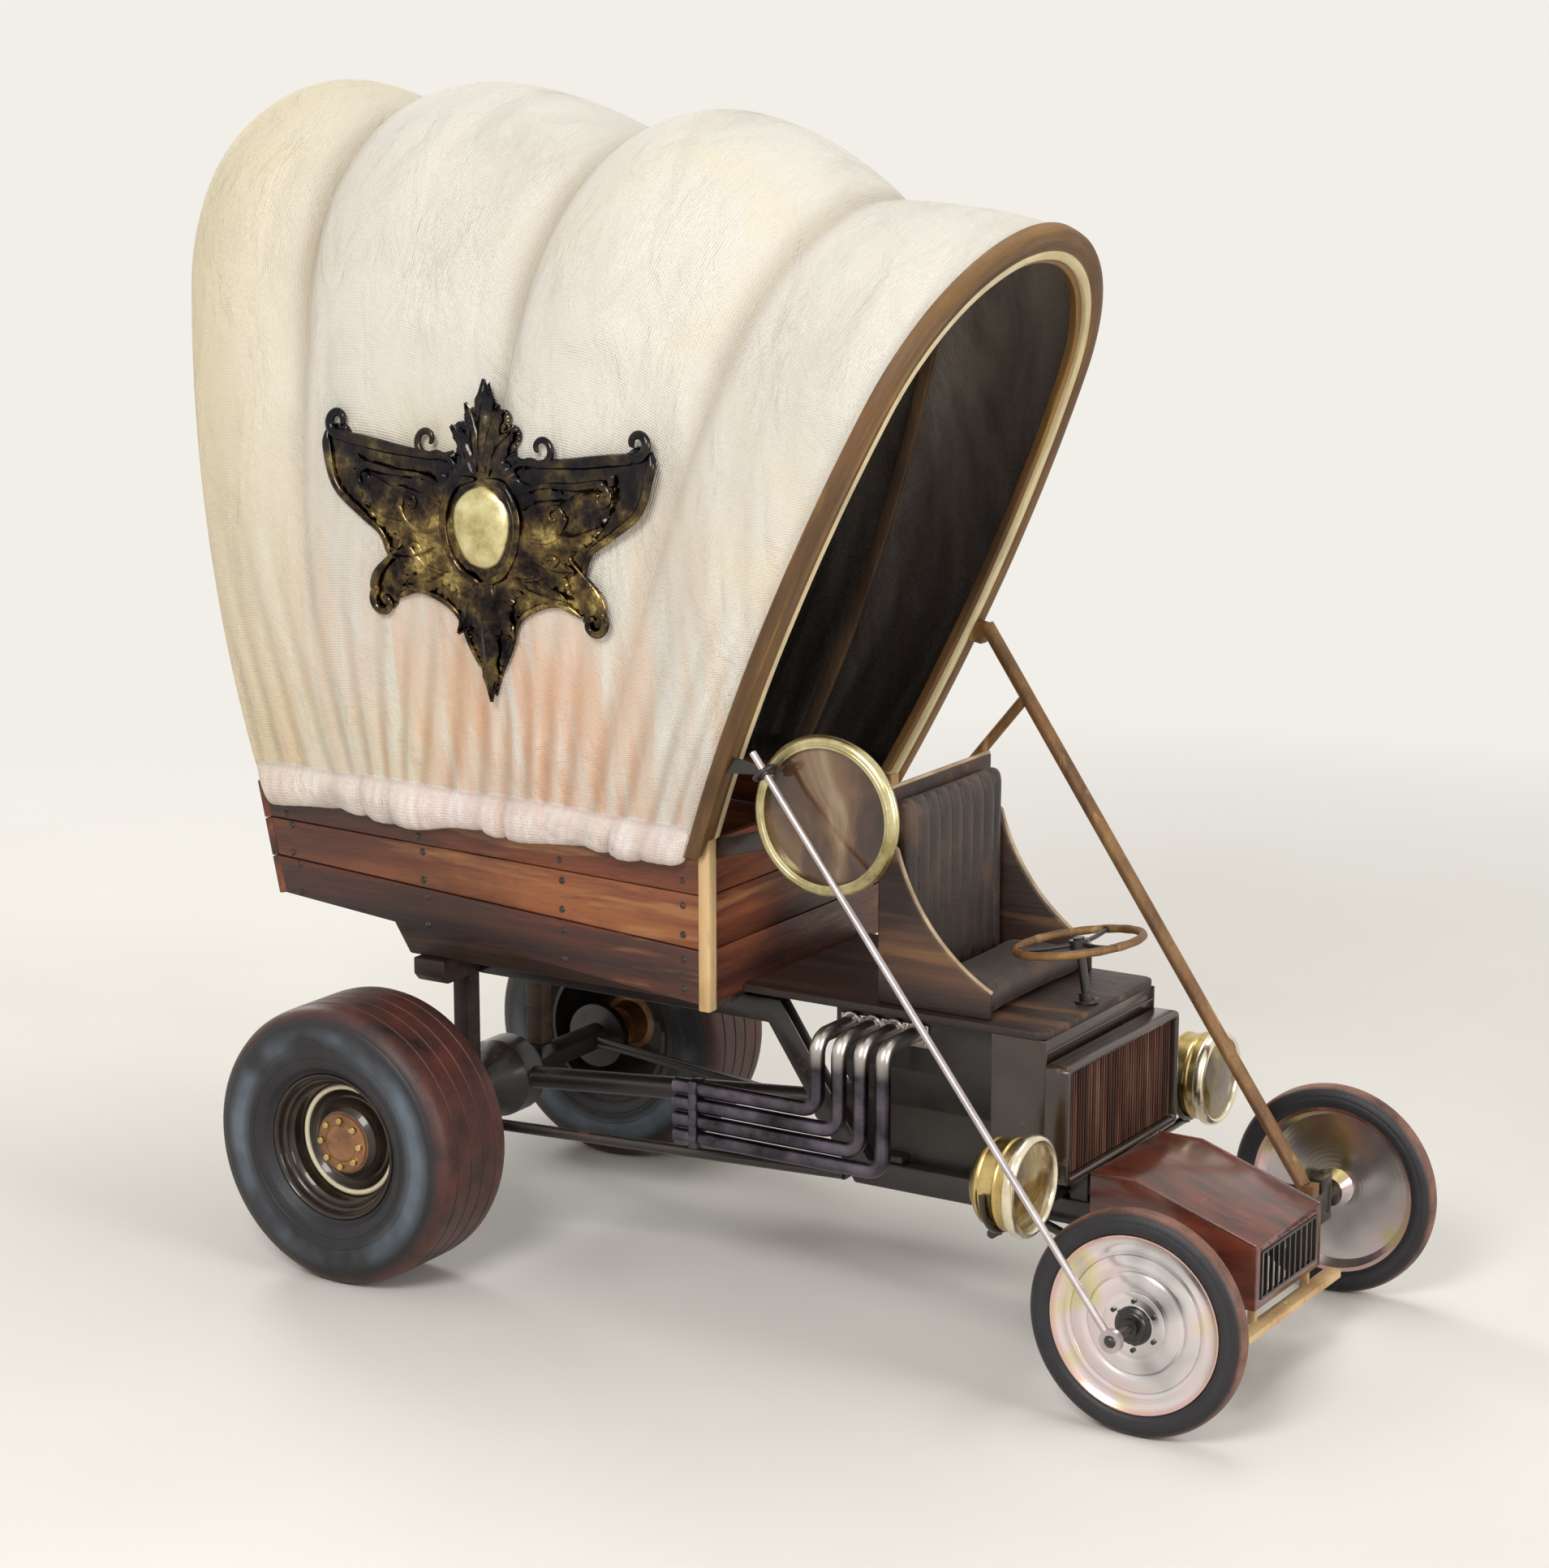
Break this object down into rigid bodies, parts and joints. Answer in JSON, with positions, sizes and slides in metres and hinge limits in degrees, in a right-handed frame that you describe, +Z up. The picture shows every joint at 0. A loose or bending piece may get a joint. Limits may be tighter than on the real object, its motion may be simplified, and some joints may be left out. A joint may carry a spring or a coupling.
{
  "type": "motorised covered wagon",
  "caption": "Covered wagon body with a canvas bonnet on a motor-driven frame, with wide rear wheels, steered front wheels, lamps, driver's bench and hinged tailgate.",
  "frame": {"origin": "on the ground under the middle of the whole wagon's length and width", "axes": "+X forward along the wagon's length, +Y to its left, across its width, +Z up"},
  "size_m": [3.7502, 1.88, 3.655],
  "materials": {
    "canvas": "matt cream cotton duck, patched with rust",
    "body_timber": "varnished red-brown planks, worn",
    "pale_timber": "bare ash, hand-worn",
    "rim_timber": "brown bent ash, waxed",
    "dark_timber": "dark oiled oak",
    "frame_steel": "black-brown enamel, worn",
    "engine_iron": "oily dark casting",
    "exhaust_steel": "heat-darkened steel",
    "bright_steel": "bright drawn steel",
    "polished_disc": "polished spun disc",
    "radiator_shell": "dark bronze-brown, polished",
    "radiator_core": "red-brown tube core",
    "nose_panel": "oxblood red-brown enamel",
    "brass": "polished brass, tarnished in the seams",
    "lamp_glass": "amber-brown lamp glass",
    "seat_leather": "dark brown leather",
    "tyre": "black rubber",
    "rim_dark": "dark stepped rim with a pale ring",
    "ornament_bronze": "dark patinated bronze"
  },
  "bodies": {
    "chassis": {"canopy": "canvas", "rear_curtain": "canvas", "bows": "pale_timber", "front_bow": "rim_timber", "ornament_plate": "ornament_bronze", "side_boards": "body_timber", "wagon_floor": "body_timber", "front_board": "body_timber", "corner_posts": "pale_timber", "tailgate_hinges": "frame_steel", "sills": "dark_timber", "rear_bolster": "dark_timber", "cross_timbers": "dark_timber", "rear_posts": "dark_timber", "frame_rails": "frame_steel", "cross_members": "frame_steel", "rear_axle": "frame_steel", "radius_rods": "frame_steel", "front_axle": "frame_steel", "rear_hitch": "frame_steel", "engine_block": "engine_iron", "exhaust_pipes": "exhaust_steel", "driver_deck": "dark_timber", "cowl_sides": "radiator_shell", "seat_frame": "dark_timber", "seat_back": "seat_leather", "seat_cushion": "seat_leather", "steering_wheel": "rim_timber", "radiator_shell": "radiator_shell", "radiator_core": "radiator_core", "nose_cover": "nose_panel", "nose_grille": "frame_steel", "front_bar": "pale_timber", "lamp_bar": "frame_steel", "headlamps": "brass", "headlamp_glasses": "lamp_glass", "side_lamp": "brass", "side_lamp_glass": "lamp_glass", "side_lamp_arm": "frame_steel", "far_pole": "rim_timber", "rod_ring": "frame_steel"},
    "rear_wheel_left": {"rear_tyre_left": "tyre", "rear_rim_left": "rim_dark"},
    "rear_wheel_right": {"rear_tyre_right": "tyre", "rear_rim_right": "rim_dark"},
    "front_wheel_left": {"front_tyre_left": "tyre", "front_disc_left": "polished_disc"},
    "front_wheel_right": {"front_tyre_right": "tyre", "front_disc_right": "polished_disc"},
    "knuckle_left": {"knuckle_left": "frame_steel"},
    "knuckle_right": {"knuckle_right": "frame_steel"},
    "tie_rod": {"tie_rod": "frame_steel"},
    "stay_rod": {"stay_rod": "bright_steel"},
    "tailgate": {"tailgate": "body_timber"}
  },
  "joints": [
    {"name": "rear_left_spin", "type": "hinge", "parent": "chassis", "child": "rear_wheel_left", "pos_m": [-1.11, 0.755, 0.445], "axis": [0, 1, 0], "continuous": true},
    {"name": "rear_right_spin", "type": "hinge", "parent": "chassis", "child": "rear_wheel_right", "pos_m": [-1.11, -0.755, 0.445], "axis": [0, 1, 0], "continuous": true},
    {"name": "steer_left", "type": "hinge", "parent": "chassis", "child": "knuckle_left", "pos_m": [1.55, 0.6, 0.33], "axis": [0, 0, 1], "range_deg": [-20, 20]},
    {"name": "steer_right", "type": "hinge", "parent": "chassis", "child": "knuckle_right", "pos_m": [1.55, -0.6, 0.33], "axis": [0, 0, 1], "range_deg": [-20, 20]},
    {"name": "front_left_spin", "type": "hinge", "parent": "knuckle_left", "child": "front_wheel_left", "pos_m": [1.55, 0.685, 0.33], "axis": [0, 1, 0], "continuous": true},
    {"name": "front_right_spin", "type": "hinge", "parent": "knuckle_right", "child": "front_wheel_right", "pos_m": [1.55, -0.685, 0.33], "axis": [0, 1, 0], "continuous": true},
    {"name": "tie_rod_pivot", "type": "hinge", "parent": "knuckle_left", "child": "tie_rod", "pos_m": [1.42, 0.6, 0.206], "axis": [0, 0, 1], "range_deg": [-20, 20]},
    {"name": "stay_rod_swivel", "type": "hinge", "parent": "knuckle_right", "child": "stay_rod", "pos_m": [1.55, -0.85, 0.33], "axis": [0, 0.0995, 0.995], "range_deg": [-20, 20]},
    {"name": "tailgate_hinge", "type": "hinge", "parent": "chassis", "child": "tailgate", "pos_m": [-1.59756, 0, 1.12284], "axis": [0, -1, 0], "range_deg": [0, 95]}
  ],
  "couplings": [
    {"joint": "steer_right", "follows": "steer_left", "ratio": 1},
    {"joint": "tie_rod_pivot", "follows": "steer_left", "ratio": -1},
    {"joint": "stay_rod_swivel", "follows": "steer_left", "ratio": -0.9933}
  ]
}
